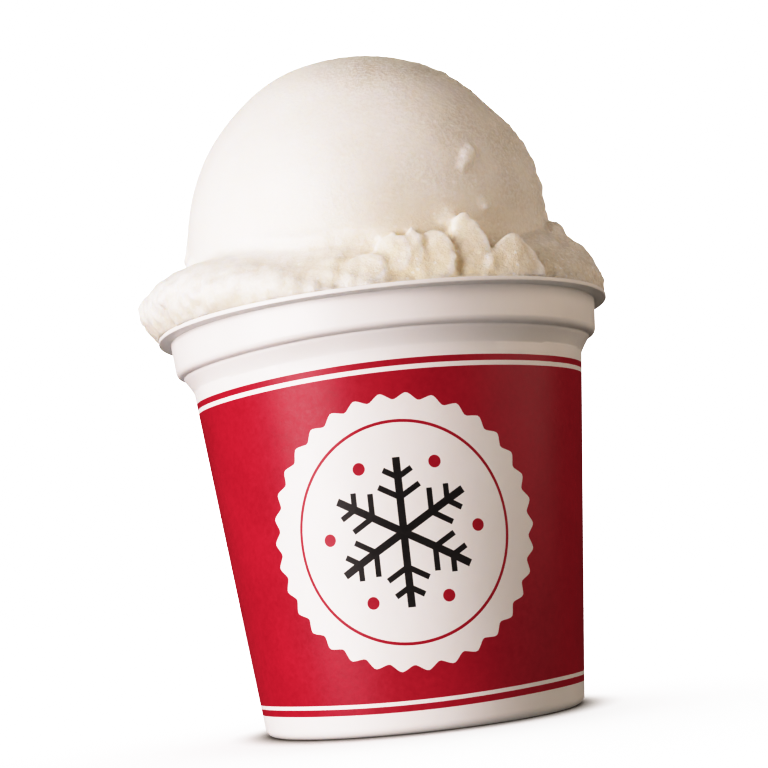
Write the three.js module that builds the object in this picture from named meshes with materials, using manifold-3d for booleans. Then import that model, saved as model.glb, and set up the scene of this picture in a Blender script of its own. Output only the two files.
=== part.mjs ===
// A single-serve cup of vanilla ice: one ball in a white moulded cup with a broad red printed band.
// Millimetres, +Z up. The origin is the middle of the cup's flat underside, and the shown side faces -Y.

import * as THREE from 'three';
import { mergeVertices } from 'three/addons/utils/BufferGeometryUtils.js';
import Module from 'manifold-3d';

const wasm = await Module();
wasm.setup();

// The cup: a cone, a hollow shoulder, an upright collar and a flat lip
const CONE_FOOT_RADIUS = 26.41;
const CONE_SLOPE = 0.1128;
const BASE_CORNER = 1.5;
const SHOULDER_Z = 57.7;
const SHOULDER_FLARE = 1.68;
const SHOULDER_CURVE = 1.2;
const STEP_Z = 60.45;
const COLLAR_RADIUS = 36.1;
const COLLAR_DRAFT = 0.09;
const COLLAR_ROUND_HEIGHT = 1.15;
const RIM_UNDER_Z = 66.2;
const RIM_RADIUS = 38.1;
const RIM_LOW_Z = 66.3;
const RIM_CORNER = 0.15;
const RIM_UNDERCUT = 75;
const CUP_HEIGHT = 67;
const WALL = 0.9;
const FLOOR = 1.1;
const CUP_SEGMENTS = 56;
const CURVE_STEPS = 4;
const EDGE_STEPS = 2;

// The ice: a ball from a scoop, pressed into the cup, with the foot that it squeezed out over the rim
const GAP = 0.3;
const FILL_GAP = 0.4;
const BALL_RADIUS = 30.83;
const BALL_CENTRE = new THREE.Vector3(-0.78, 0, 81.9);
const BALL_DETAIL = 12;
const BALL_LUMP = { length: 17, height: 0.16, seed: 3 };
const BALL_DENT = { azimuth: -18, elevation: 40, width: 14, depth: 0.6 };
const FOOT_Z = CUP_HEIGHT;
const FOOT_TOP_RADIUS = 29.2;
const FOOT_CORE_RADIUS = 32;
const FOOT = { rimRadius: 38.0, topZ: 82.0, belly: 2.2 };
const FOOT_DIP = { centre: -75, width: 58, depth: 7.2 };
const FOOT_LEFT = { centre: 180, width: 48, drop: 5.0, belly: 0.5, square: 7 };
const FOOT_FRONT = { centre: -92, width: 42, belly: -2.0 };
const FOOT_FLAKED = { centre: -76, width: 30, inset: 1.6 };
const FOOT_SEGMENTS = 72;
const FOOT_RINGS = 8;
const FOOT_LUMP = { length: 7.5, height: 0.34, seed: 11 };
const RING_REACH = 45;
const FILL_SEGMENTS = 48;
const WAVE_COUNT = 9;
const GOLDEN_ANGLE = Math.PI * (3 - Math.sqrt(5));
const WELD = 1e-4;

const WHITE_PLASTIC = { color: 0xf2efeb, roughness: 0.38, metalness: 0 };
const ICE = { color: 0xf1ebe1, roughness: 0.55, metalness: 0 };

// Broken flakes of the foot, each a plate at an azimuth (degrees, -90 faces the viewer), with its face
// at a radius and a height. lean opens its right edge outward, turn rolls it in its own plane, point
// sharpens its top and foot, taper narrows its top, and ridge lets its sides fall away from its middle.
const FLAKE_KEYS = ['azimuth', 'radius', 'z', 'wide', 'tall', 'lean', 'turn', 'point', 'taper', 'ridge'];
const SHOWN_FLAKES = [
  [-92.8, 34.9, 69.8, 6.6, 6.2, 10, 8, 0.9, 0, 0.1],
  [-85.4, 33.9, 72.3, 5.4, 7.0, 12, 4, 0.9, 0, 0.1],
  [-80.0, 34.1, 72.6, 2.8, 7.4, 16, -6, 1.2, 0, 0.1],
  [-74.6, 34.7, 71.2, 6.0, 9.8, 13, -10, 1.05, 0.1, 0.1],
  [-67.4, 30.6, 78.2, 2.6, 3.0, 8, 10, 1, 0.2, 0.2],
  [-64.2, 34.2, 73.2, 5.6, 11.2, 14, 2, 1.15, 0.1, 0.1],
  [-54.4, 30.6, 80.4, 1.4, 2.0, 12, 30, 1, 0, 0.2],
  [-53.6, 36.7, 70.4, 9.0, 9.2, 10, -14, 1.0, 0.5, 0.6],
  [-9.0, 32.6, 78.2, 12.0, 5.0, 0, 0, 0.75, 0, 0.8],
  [-9.0, 35.7, 74.1, 13.0, 4.5, 0, -3, 0.75, 0, 0.8],
  [-9.0, 37.8, 70.1, 13.0, 3.8, 0, -4, 0.75, 0, 0.8],
  [-178.0, 32.0, 82.6, 6.0, 4.6, 0, 0, 0.9, 0, 0.4],
  [-172.0, 32.5, 78.6, 8.0, 4.4, 0, 0, 0.9, 0, 0.4],
  [-57.6, 30.4, 88.2, 1.9, 4.2, 10, -34, 1.2, 0, 0.2],
].map((row) => Object.fromEntries(row.map((value, i) => [FLAKE_KEYS[i], value])));
const FLAKE_SLOPE = 20;
const FLAKE_ROOT = 6;
const FLAKE_CROWN = 0.15;
const FLAKE_EDGE = { length: 2.0, height: 0.16, seed: 23 };
const FLAKE_SEGMENTS = 12;
const FLAKE_RINGS = [
  { share: 0.55, depth: 0 },
  { share: 0.9, depth: 0 },
  { share: 1, depth: 0.35 },
  { share: 1, depth: FLAKE_ROOT },
];

// The same kind of flakes go on round the back, drawn by chance between the two numbers of each pair
const MORE_FLAKES = {
  seed: 7,
  count: 12,
  from: 16,
  to: 150,
  step: [0.2, 0.8],
  size: [0.7, 1.25],
  radius: 37.4,
  z: [70.4, 76.4],
  wide: 8,
  tall: 9,
  lean: [6, 26],
  turn: [-25, 20],
  point: [0.85, 1.25],
  taper: [0, 0.3],
  ridge: [0.2, 1],
};

const toRadians = THREE.MathUtils.degToRad;

function mix(from, to, share) {
  return from + (to - from) * share;
}

// A smooth hump of height 1 about one side, for azimuths in degrees. A higher power has a flat top.
function bell(azimuth, { centre, width }, power = 2) {
  const apart = Math.abs(((azimuth - centre + 540) % 360) - 180);
  return Math.exp(-((apart / width) ** power));
}

// Irregular waves of one length, the same at every run
function waves(point, { length, height, seed }) {
  let sum = 0;
  for (let i = 0; i < WAVE_COUNT; i += 1) {
    const tilt = (2 * (i + 0.5)) / WAVE_COUNT - 1;
    const turn = GOLDEN_ANGLE * (i + seed);
    const across = Math.sqrt(1 - tilt * tilt);
    const along = across * (point.x * Math.cos(turn) + point.y * Math.sin(turn)) + tilt * point.z;
    sum += Math.sin((2 * Math.PI * along) / length + seed * (i + 1));
  }
  return (height * sum) / Math.sqrt(WAVE_COUNT);
}

function coneRadius(z) {
  return CONE_FOOT_RADIUS + CONE_SLOPE * z;
}

// Outer radius of the cup's wall at a height between the base corner and the rim's underside
function wallRadius(z) {
  if (z <= SHOULDER_Z) return coneRadius(z);
  const shoulderTop = coneRadius(SHOULDER_Z) + SHOULDER_FLARE;
  if (z <= STEP_Z) {
    const share = (z - SHOULDER_Z) / (STEP_Z - SHOULDER_Z);
    return coneRadius(SHOULDER_Z) + SHOULDER_FLARE * share ** SHOULDER_CURVE;
  }
  const left = Math.max(0, 1 - (z - STEP_Z) / COLLAR_ROUND_HEIGHT);
  const upright = COLLAR_RADIUS - COLLAR_DRAFT * Math.max(0, RIM_UNDER_Z - z);
  return mix(shoulderTop, upright, Math.sqrt(1 - left * left));
}

// Heights at which the wall changes direction, from the base corner up to the rim's underside
function wallHeights() {
  const heights = [BASE_CORNER];
  for (let i = 0; i <= CURVE_STEPS; i += 1) heights.push(mix(SHOULDER_Z, STEP_Z, i / CURVE_STEPS));
  for (let i = 1; i <= CURVE_STEPS; i += 1) heights.push(STEP_Z + (COLLAR_ROUND_HEIGHT * i) / CURVE_STEPS);
  heights.push(RIM_UNDER_Z);
  return heights;
}

function quarterRound(points, centreR, centreZ, radius, fromDegrees, toDegrees, steps) {
  for (let i = 0; i <= steps; i += 1) {
    const angle = toRadians(mix(fromDegrees, toDegrees, i / steps));
    points.push(new THREE.Vector2(centreR + radius * Math.cos(angle), centreZ + radius * Math.sin(angle)));
  }
}

// Half section of the cup, from the axis out along its underside, up, over the rim and down inside
function cupProfile() {
  const points = [new THREE.Vector2(0, 0)];
  quarterRound(points, coneRadius(BASE_CORNER) - BASE_CORNER, BASE_CORNER, BASE_CORNER, -90, 0, CURVE_STEPS);
  for (const z of wallHeights().slice(1)) points.push(new THREE.Vector2(wallRadius(z), z));
  const edge = RIM_RADIUS - RIM_CORNER;
  quarterRound(points, edge, RIM_LOW_Z + RIM_CORNER, RIM_CORNER, -RIM_UNDERCUT, 0, EDGE_STEPS);
  quarterRound(points, edge, CUP_HEIGHT - RIM_CORNER, RIM_CORNER, 0, 90, EDGE_STEPS);
  const lip = WALL / 2;
  quarterRound(points, COLLAR_RADIUS - WALL + lip, CUP_HEIGHT - lip, lip, 90, 180, EDGE_STEPS);
  for (const z of wallHeights().reverse()) {
    if (z > BASE_CORNER) points.push(new THREE.Vector2(wallRadius(z) - WALL, z));
  }
  const insideCorner = BASE_CORNER - WALL / 2;
  const inner = coneRadius(FLOOR) - WALL;
  points.push(new THREE.Vector2(inner + CONE_SLOPE * insideCorner, FLOOR + insideCorner));
  points.push(new THREE.Vector2(inner - insideCorner, FLOOR));
  points.push(new THREE.Vector2(0, FLOOR));
  return points;
}

function lathe(points, segments) {
  const geometry = new THREE.LatheGeometry(points, segments);
  geometry.rotateX(Math.PI / 2);
  return geometry;
}

// A closed geometry as a solid that can be joined and cut
function solidOf(geometry) {
  const bare = geometry.clone();
  bare.deleteAttribute('normal');
  bare.deleteAttribute('uv');
  const merged = mergeVertices(bare, WELD);
  const corners = merged.index.array;
  const triangles = [];
  for (let i = 0; i < corners.length; i += 3) {
    const [a, b, c] = corners.slice(i, i + 3);
    if (a !== b && b !== c && c !== a) triangles.push(a, b, c);
  }
  return new wasm.Manifold(new wasm.Mesh({
    numProp: 3,
    vertProperties: new Float32Array(merged.attributes.position.array),
    triVerts: new Uint32Array(triangles),
  }));
}

function geometryOf(solid) {
  const mesh = solid.getMesh();
  const geometry = new THREE.BufferGeometry();
  geometry.setAttribute('position', new THREE.BufferAttribute(mesh.vertProperties, mesh.numProp));
  geometry.setIndex(new THREE.BufferAttribute(mesh.triVerts, 1));
  geometry.computeVertexNormals();
  return geometry;
}

// How far the ball is hollowed at a place, from its middle outward in a direction of length 1
function ballDent(outward) {
  const turn = toRadians(BALL_DENT.azimuth);
  const rise = toRadians(BALL_DENT.elevation);
  const level = Math.cos(rise);
  const middle = new THREE.Vector3(level * Math.cos(turn), level * Math.sin(turn), Math.sin(rise));
  const apart = THREE.MathUtils.radToDeg(middle.angleTo(outward));
  return BALL_DENT.depth * Math.exp(-((apart / BALL_DENT.width) ** 2));
}

function ball() {
  const geometry = new THREE.IcosahedronGeometry(1, BALL_DETAIL);
  const places = geometry.attributes.position;
  const outward = new THREE.Vector3();
  const place = new THREE.Vector3();
  for (let i = 0; i < places.count; i += 1) {
    outward.fromBufferAttribute(places, i);
    place.copy(outward).multiplyScalar(BALL_RADIUS).add(BALL_CENTRE);
    place.addScaledVector(outward, waves(place, BALL_LUMP) - ballDent(outward));
    places.setXYZ(i, place.x, place.y, place.z);
  }
  return solidOf(geometry);
}

// The foot at one azimuth: its radius on the rim, the height of its top edge on the ball, its belly, and
// how long it stays upright before it turns in
function footSection(azimuth) {
  const left = bell(azimuth, FOOT_LEFT);
  return {
    rimRadius: FOOT.rimRadius - FOOT_FLAKED.inset * bell(azimuth, FOOT_FLAKED),
    topZ: FOOT.topZ - FOOT_DIP.depth * bell(azimuth, FOOT_DIP, 4) - FOOT_LEFT.drop * left,
    belly: FOOT.belly + FOOT_LEFT.belly * left + FOOT_FRONT.belly * bell(azimuth, FOOT_FRONT),
    square: FOOT_LEFT.square * left,
  };
}

// Radius of the foot at a share of the way from the rim up to the ball
function footRadius({ rimRadius, belly, square }, share) {
  const inward = share ** (1 + square);
  return mix(rimRadius, FOOT_TOP_RADIUS, inward) + belly * Math.sin(Math.PI * share);
}

// A plain drum with a ring for the middle, one for the core and one for the side is bent into the foot
function foot() {
  const [middle, core, side] = [0, 1, 2];
  const rings = [new THREE.Vector2(middle, 0), new THREE.Vector2(core, 0)];
  for (let i = 0; i <= FOOT_RINGS; i += 1) rings.push(new THREE.Vector2(side, i / FOOT_RINGS));
  rings.push(new THREE.Vector2(middle, 1));
  const geometry = lathe(rings, FOOT_SEGMENTS);
  const places = geometry.attributes.position;
  for (let i = 0; i < places.count; i += 1) {
    const x = places.getX(i);
    const y = places.getY(i);
    const share = THREE.MathUtils.clamp(places.getZ(i), 0, 1);
    const ring = Math.round(Math.hypot(x, y));
    const angle = Math.atan2(y, x);
    const section = footSection(THREE.MathUtils.radToDeg(angle));
    const z = mix(FOOT_Z, section.topZ, share);
    if (ring === middle) {
      places.setXYZ(i, 0, 0, share > 0 ? BALL_CENTRE.z : FOOT_Z - WALL);
      continue;
    }
    if (ring === core) {
      places.setXYZ(i, FOOT_CORE_RADIUS * Math.cos(angle), FOOT_CORE_RADIUS * Math.sin(angle), FOOT_Z - WALL);
      continue;
    }
    const radius = footRadius(section, share);
    const place = new THREE.Vector3(radius * Math.cos(angle), radius * Math.sin(angle), z);
    const bulge = waves(place, FOOT_LUMP);
    places.setXYZ(i, place.x + bulge * Math.cos(angle), place.y + bulge * Math.sin(angle), z);
  }
  return solidOf(geometry);
}

// Everything inside the cup, a little more than the gap away from its wall and floor
function fill() {
  const inset = WALL + FILL_GAP;
  const points = [new THREE.Vector2(0, FLOOR + FILL_GAP)];
  points.push(new THREE.Vector2(coneRadius(FLOOR) - inset - BASE_CORNER, FLOOR + FILL_GAP));
  for (const z of [BASE_CORNER + FLOOR, ...wallHeights().slice(1)]) {
    points.push(new THREE.Vector2(wallRadius(z) - inset, z));
  }
  points.push(new THREE.Vector2(COLLAR_RADIUS - inset, FOOT_Z));
  points.push(new THREE.Vector2(0, FOOT_Z));
  return solidOf(lathe(points, FILL_SEGMENTS));
}

// Axes of a flake: across to its right edge, up, and out from the ball
function flakeAxes({ azimuth, lean, turn }) {
  const angle = toRadians(azimuth);
  const across = new THREE.Vector3(-Math.sin(angle), Math.cos(angle), 0);
  const out = new THREE.Vector3(Math.cos(angle), Math.sin(angle), 0);
  const up = new THREE.Vector3(0, 0, 1);
  out.applyAxisAngle(across, -toRadians(FLAKE_SLOPE));
  up.applyAxisAngle(across, -toRadians(FLAKE_SLOPE));
  across.applyAxisAngle(up, -toRadians(lean));
  out.applyAxisAngle(up, -toRadians(lean));
  across.applyAxisAngle(out, toRadians(turn));
  up.applyAxisAngle(out, toRadians(turn));
  return { across, up, out };
}

// How far a flake's face stands above its plane at a place, from its middle at 0 to its edge at 1
function flakeFace({ ridge }, across, up) {
  return FLAKE_CROWN * (1 - (across * across + up * up) / 2) - ridge * Math.abs(across);
}

// One point of a flake: share is the way from its middle to its almond outline
function flakePoint(size, axes, centre, angle, { share, depth }) {
  const up = Math.sin(angle);
  const side = Math.cos(angle);
  const across = Math.sign(side) * Math.abs(side) ** size.point;
  const narrow = 1 - size.taper * up * share;
  const place = centre.clone();
  place.addScaledVector(axes.across, (across * share * size.wide * narrow) / 2);
  place.addScaledVector(axes.up, (up * share * size.tall) / 2);
  place.addScaledVector(axes.out, flakeFace(size, across * share, up * share) - depth);
  const chip = waves(place, FLAKE_EDGE) * share;
  place.addScaledVector(axes.across, chip * across);
  return place.addScaledVector(axes.up, chip * up);
}

function flake(size) {
  const axes = flakeAxes(size);
  const turn = toRadians(size.azimuth);
  const centre = new THREE.Vector3(size.radius * Math.cos(turn), size.radius * Math.sin(turn), size.z);
  const middle = centre.clone().addScaledVector(axes.out, flakeFace(size, 0, 0));
  const places = [middle];
  for (const ring of FLAKE_RINGS) {
    for (let i = 0; i < FLAKE_SEGMENTS; i += 1) {
      places.push(flakePoint(size, axes, centre, (2 * Math.PI * i) / FLAKE_SEGMENTS, ring));
    }
  }
  places.push(centre.clone().addScaledVector(axes.out, -FLAKE_ROOT));
  const triangles = [];
  const last = places.length - 1;
  for (let i = 0; i < FLAKE_SEGMENTS; i += 1) {
    const next = (i + 1) % FLAKE_SEGMENTS;
    triangles.push(0, 1 + i, 1 + next);
    for (let ring = 1; ring < FLAKE_RINGS.length; ring += 1) {
      const inner = 1 + (ring - 1) * FLAKE_SEGMENTS;
      const outer = 1 + ring * FLAKE_SEGMENTS;
      triangles.push(inner + i, outer + i, outer + next, inner + i, outer + next, inner + next);
    }
    const rim = 1 + (FLAKE_RINGS.length - 1) * FLAKE_SEGMENTS;
    triangles.push(last, rim + next, rim + i);
  }
  const geometry = new THREE.BufferGeometry().setFromPoints(places);
  geometry.setIndex(triangles);
  return solidOf(geometry);
}

// A small repeatable source of chance, each call a number from 0 to 1
function chance(seed) {
  let state = seed;
  return () => {
    state = (state * 16807) % 2147483647;
    return state / 2147483647;
  };
}

function flakesRoundTheBack() {
  const draw = chance(MORE_FLAKES.seed);
  const pick = ([low, high]) => mix(low, high, draw());
  const flakes = [];
  for (let i = 0; i < MORE_FLAKES.count; i += 1) {
    const share = (i + pick(MORE_FLAKES.step)) / MORE_FLAKES.count;
    const size = pick(MORE_FLAKES.size);
    flakes.push({
      azimuth: mix(MORE_FLAKES.from, MORE_FLAKES.to, share),
      radius: MORE_FLAKES.radius,
      z: pick(MORE_FLAKES.z),
      wide: MORE_FLAKES.wide * size,
      tall: MORE_FLAKES.tall * size,
      lean: pick(MORE_FLAKES.lean),
      turn: pick(MORE_FLAKES.turn),
      point: pick(MORE_FLAKES.point),
      taper: pick(MORE_FLAKES.taper),
      ridge: pick(MORE_FLAKES.ridge),
    });
  }
  return flakes;
}

// The cup's rim and everything outside it, with the gap that the ice keeps from them
function rimSpace() {
  const mouth = COLLAR_RADIUS - WALL - GAP;
  const top = CUP_HEIGHT + GAP;
  const corners = [[mouth, 0], [RING_REACH, 0], [RING_REACH, top], [mouth, top], [mouth, 0]];
  return solidOf(lathe(corners.map(([r, z]) => new THREE.Vector2(r, z)), CUP_SEGMENTS));
}

function cup() {
  return lathe(cupProfile(), CUP_SEGMENTS);
}

function iceCream() {
  const pieces = [ball(), foot()];
  for (const size of [...SHOWN_FLAKES, ...flakesRoundTheBack()]) pieces.push(flake(size));
  const parts = wasm.Manifold.union(pieces).subtract(rimSpace()).add(fill()).decompose();
  parts.sort((a, b) => b.volume() - a.volume());
  return geometryOf(parts[0]);
}

function named(name, geometry, finish) {
  const mesh = new THREE.Mesh(geometry, new THREE.MeshStandardMaterial(finish));
  mesh.name = name;
  return mesh;
}

const part = new THREE.Group();
part.add(named('cup', cup(), WHITE_PLASTIC));
part.add(named('ice_cream', iceCream(), ICE));

export default part;
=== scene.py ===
"""Looks of a single-serve cup of vanilla ice.

It has two pieces: a printed white cup, and the ice, with its ball, its broken foot and its fill.
"""

import math

import bmesh
import bpy
import numpy as np
from mathutils import Matrix, Vector, noise
from mathutils.geometry import delaunay_2d_cdt


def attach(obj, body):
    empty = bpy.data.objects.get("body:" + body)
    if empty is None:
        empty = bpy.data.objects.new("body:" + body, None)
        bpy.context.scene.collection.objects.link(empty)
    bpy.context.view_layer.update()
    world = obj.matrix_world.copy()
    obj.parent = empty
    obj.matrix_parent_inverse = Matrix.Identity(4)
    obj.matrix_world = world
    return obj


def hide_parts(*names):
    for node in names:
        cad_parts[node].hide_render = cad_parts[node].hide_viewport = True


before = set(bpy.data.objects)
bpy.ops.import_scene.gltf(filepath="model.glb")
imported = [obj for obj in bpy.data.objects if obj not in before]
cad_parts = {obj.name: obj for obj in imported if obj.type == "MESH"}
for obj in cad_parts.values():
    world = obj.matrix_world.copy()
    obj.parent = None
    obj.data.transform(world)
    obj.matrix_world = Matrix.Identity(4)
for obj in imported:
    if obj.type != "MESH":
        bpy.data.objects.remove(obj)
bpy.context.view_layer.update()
MM = 0.001

# Camera, from the perspective of the photograph: place in millimetres, turns in radians
CAMERA_DISTANCE = 285.2
CAMERA_HEIGHT = 22.88
CAMERA_YAW = -0.0031
CAMERA_PITCH = 0.117
CAMERA_ROLL = -0.1088
CAMERA_LENS = 79.11
CAMERA_NEAR = 10
SENSOR = 36

# Cup, in millimetres: a cone, a hollow shoulder, an upright collar and a flat lip
CONE_FOOT_RADIUS = 26.41
CONE_SLOPE = 0.1128
BASE_CORNER = 1.5
SHOULDER_Z = 57.7
SHOULDER_FLARE = 1.68
SHOULDER_CURVE = 1.2
STEP_Z = 60.45
STEP_GROOVE = 0.14
STEP_GROOVE_WIDTH = 0.22
COLLAR_RADIUS = 36.1
COLLAR_DRAFT = 0.09
COLLAR_ROUND_HEIGHT = 1.15
RIM_UNDER_Z = 66.2
RIM_RADIUS = 38.1
RIM_LOW_Z = 66.3
RIM_CORNER = 0.15
CUP_HEIGHT = 67.0
WALL = 0.9
FLOOR = 1.1
LIP_START = -75

# Fineness of the cup's mesh: columns round it, steps of its curves in profile, points added close
# to corners that bend by more than some degrees, and distances at which points are welded
CUP_COLUMNS = 180
CURVE_STEPS = 12
STRAIGHT_STEPS = 2
CORNER_STEPS = 4
BASE_STEPS = 6
CORNER_BEND = 25
CORNER_NEAR = 0.1
CUP_WELD = 0.001
CUP_SLIVER = 0.0005

# The wall's print and shoulder run a little uneven round the cup: heights in three lobes
UNEVEN_LOBES = 3
UNEVEN_HEIGHTS = (BASE_CORNER, 4, STEP_Z, RIM_UNDER_Z)
UNEVEN_SIZES = (0, -0.22, 0.3, 0)

# Print on the wall, in millimetres, with its turns in radians
LOW_STRIPE = (3.6, 4.6)
FIELD = (5.23, 54.21)
TOP_STRIPE = (54.95, 55.9)
BADGE_Z = 30.19
BADGE_AZIMUTH = -0.0078
BADGE_WIDE = 21.4
BADGE_TALL = 20.3
BADGE_TEETH = 34
BADGE_TOOTH = 1.15
BADGE_PHASE = 0.87
BADGE_SHARP = 0.55
TOOTH_STEPS = 10
RING_RADIUS = 16.6
RING_WIDTH = 0.45
RING_STEPS = 180
ARMS = 6
ARM_STEP = 2 * math.pi / ARMS
ARM_LENGTH = 11.2
ARM_WIDTH = 1.15
BRANCHES = ((5.2, 3.6), (8.2, 2.5))
BRANCH_WIDTH = 0.85
BRANCH_TURN = math.pi / 3
DOT_RADIUS = 0.95
DOT_PLACE = 11.6
DOT_STEPS = 20
WALL_ROW = 3.0
CLEAR_OF_OUTLINE = 0.28
SHEET_WELD = 1e-5

# Ice, in millimetres: the ball, its foot on the rim and the fill inside the cup
RIM_CONTACT = 0.15
FILL_GAP = 0.4
FILL_OVERLAP = 1
BALL_RADIUS = 30.83
BALL_CENTRE = (-0.78, 0, 81.9)
BALL_LUMP = {"length": 17, "height": 0.16, "seed": 3}
BALL_DENT = {"azimuth": -18, "elevation": 40, "width": 14, "depth": 0.6}
FOOT_Z = CUP_HEIGHT
FOOT_TOP_RADIUS = 29.2
FOOT = {"rim_radius": 38.0, "top_z": 82.0, "belly": 2.2}
FOOT_DIP = {"centre": -75, "width": 58, "depth": 7.2}
DIP_POWER = 4
FOOT_LEFT = {"centre": 180, "width": 48, "drop": 5.0, "belly": 0.5, "square": 7}
FOOT_FRONT = {"centre": -92, "width": 42, "belly": -2.0}
FOOT_FLAKED = {"centre": -76, "width": 30, "inset": 1.6}
FOOT_LUMP = {"length": 7.5, "height": 0.34, "seed": 11}
FOOT_GRAIN = {"length": 2.6, "height": 0.19, "seed": 5}
FOOT_SLOPE = 0.85
BLEND_FOOT = 1.3
BLEND_FRONT = 6
BLEND_FLAKE = 0.95
WAVE_COUNT = 9
GOLDEN_ANGLE = math.pi * (3 - math.sqrt(5))

# Grid on which the distance to the ice's surface is worked out, coarser deep in the cup
GRID_STEP = 0.4
GRID_REACH = 43
GRID_FINE_Z = 62
GRID_DEEP_ROWS = 22
GRID_MARGIN = 2
UNIT_STEPS = np.eye(3, dtype=int)
CELL_CORNERS = [np.array(c) for c in np.ndindex(2, 2, 2)]

# Broken flakes of the foot, each a plate at an azimuth (degrees, -90 faces the viewer), with its
# face at a radius and a height. lean opens its right edge outward, turn rolls it in its own plane,
# point sharpens its top and foot, taper narrows its top, ridge lets its sides fall away from its
# middle, and round is how far its edge is rounded.
FLAKE_SLOPE = 20
FLAKE_ROOT = 6
FLAKE_CROWN = 0.15
FLAKE_BOX = 0.75
FLAKE_EDGE = {"length": 2.0, "height": 0.16, "seed": 23}
FLAKE_KEYS = ("azimuth", "radius", "z", "wide", "tall", "lean", "turn", "point", "taper", "ridge",
              "round")
SHOWN_FLAKES = [dict(zip(FLAKE_KEYS, row)) for row in (
    (-92.8, 34.9, 69.8, 6.6, 6.2, 10, 8, 0.9, 0, 0.1, 0.5),
    (-85.4, 33.9, 72.3, 5.4, 7.0, 12, 4, 0.9, 0, 0.1, 0.5),
    (-80.0, 34.1, 72.6, 2.8, 7.4, 16, -6, 1.2, 0, 0.1, 0.5),
    (-74.6, 34.7, 71.2, 6.0, 9.8, 13, -10, 1.05, 0.1, 0.1, 0.5),
    (-67.4, 30.6, 78.2, 2.6, 3.0, 8, 10, 1, 0.2, 0.2, 0.5),
    (-64.2, 34.2, 73.2, 5.6, 11.2, 14, 2, 1.15, 0.1, 0.1, 0.5),
    (-54.4, 30.6, 80.4, 1.4, 2.0, 12, 30, 1, 0, 0.2, 0.5),
    (-53.6, 36.7, 70.4, 9.0, 9.2, 10, -14, 1.0, 0.5, 0.6, 0.5),
    (-9.0, 32.6, 78.2, 12.0, 5.0, 0, 0, 0.75, 0, 0.8, 2),
    (-9.0, 35.7, 74.1, 13.0, 4.5, 0, -3, 0.75, 0, 0.8, 2),
    (-9.0, 37.8, 70.1, 13.0, 3.8, 0, -4, 0.75, 0, 0.8, 2),
    (-178.0, 32.0, 82.6, 6.0, 4.6, 0, 0, 0.9, 0, 0.4, 0.5),
    (-172.0, 32.5, 78.6, 8.0, 4.4, 0, 0, 0.9, 0, 0.4, 0.5),
    (-57.6, 30.4, 88.2, 1.9, 4.2, 10, -34, 1.2, 0, 0.2, 0.5),
)]

# More flakes go on round the back, drawn by chance between the two numbers of each pair
MORE_FLAKES = {
    "seed": 7, "count": 12, "from": 16, "to": 150, "step": (0.2, 0.8), "size": (0.7, 1.25),
    "radius": 37.4, "z": (70.4, 76.4), "wide": 8, "tall": 9, "lean": (6, 26), "turn": (-25, 20),
    "point": (0.85, 1.25), "taper": (0, 0.3), "ridge": (0.2, 1), "round": 0.5,
}
DRAW_FACTOR = 16807
DRAW_RANGE = 2147483647

# Grain of the ice, in millimetres: it stands out where the ball broke, hardly where the scoop slid.
# Pairs of shares are for the smooth side and the broken side, or for smooth and broken patches.
BROKEN_SIDE = {"centre": -22, "width": 62}
BROKEN_PATCH = {"length": 8, "height": 1.2, "seed": 31}
BROKEN_SHARES = (0.3, 0.65)
BROKEN_LOW = {"below": 2, "fade": 8, "shares": (0.25, 0.85)}
BROKEN_TOP = {"above": 16, "fade": 8, "from_x": -9, "fade_x": 10, "shares": (0.6, 1)}
SCALY_SIDE = {"centre": 8, "width": 42}
SCALY_OUT = 2
SCALY_ABOVE = 10
SCALE_SHARP = 1.4
SCALE_SIZE = 3.4
SCALE_HEIGHT = 0.6
CRYSTAL_SIZE = 1.15
CRYSTAL_HEIGHT = 0.16
SMOOTH_GRAIN = 0.04

# Painted shade and light on the ice: yellowish painted shade in hollows, where it meets the rim and
# low between the flakes, and white painted light on what stands out and, with frost, on the first
# of the shown flakes
HOLLOW_ROUNDS = 14
HOLLOW_DEPTH = 1.3
RIM_SHADE = 0.55
RIM_SHADE_HEIGHT = 3.5
FROSTED_FLAKES = 8
FROST_EDGE = 1.08
FROST_SOFT = 0.2
FROST_FACE = 0.12
EDGE_LIGHT_MARGIN = 0.35
FROST_DEPTH = 1.5
FROST_SMOOTH = 0.6
# Where the painted shade low between the flakes lies
LOW_SHADE_SIDE = {"centre": -68, "width": 34}
LOW_SHADE_HEIGHT = 17

# Materials, with the sizes and heights of their grain in millimetres
MIDDLE_GREYS = (0.3, 0.7)
SKIN = {"size": 1.4, "detail": 2}
SKIN_HEIGHT = 0.02

PLASTIC_COLOURS = ((0.86, 0.845, 0.83), (0.89, 0.885, 0.875))
PLASTIC_CLOUD = {"size": 14, "detail": 3}
PLASTIC_WEAR = {"size": 5, "detail": 4}
PLASTIC_ROUGHNESS = (0.33, 0.45)
PLASTIC_GLOSS = 0.4
PLASTIC_GLOW = 0.15
PLASTIC_GLOW_TINT = (1, 0.8, 0.6)
PLASTIC_GLOW_DEPTH = 1

RED_COLOURS = ((0.36, 0.015, 0.04), (0.46, 0.025, 0.056))
RED_ROUGHNESS = (0.31, 0.44)
DARK_COLOURS = ((0.016, 0.014, 0.014), (0.035, 0.031, 0.03))
DARK_ROUGHNESS = (0.37, 0.5)
INK_MOTTLE = {"size": 0.9, "detail": 5, "roughness": 0.7}
INK_MOTTLE_GREYS = (0.32, 0.68)
INK_MOTTLE_HEIGHT = 0.006
INK_CLOUD = {"size": 9, "detail": 3}
INK_GLOSS = 0.29

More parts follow.
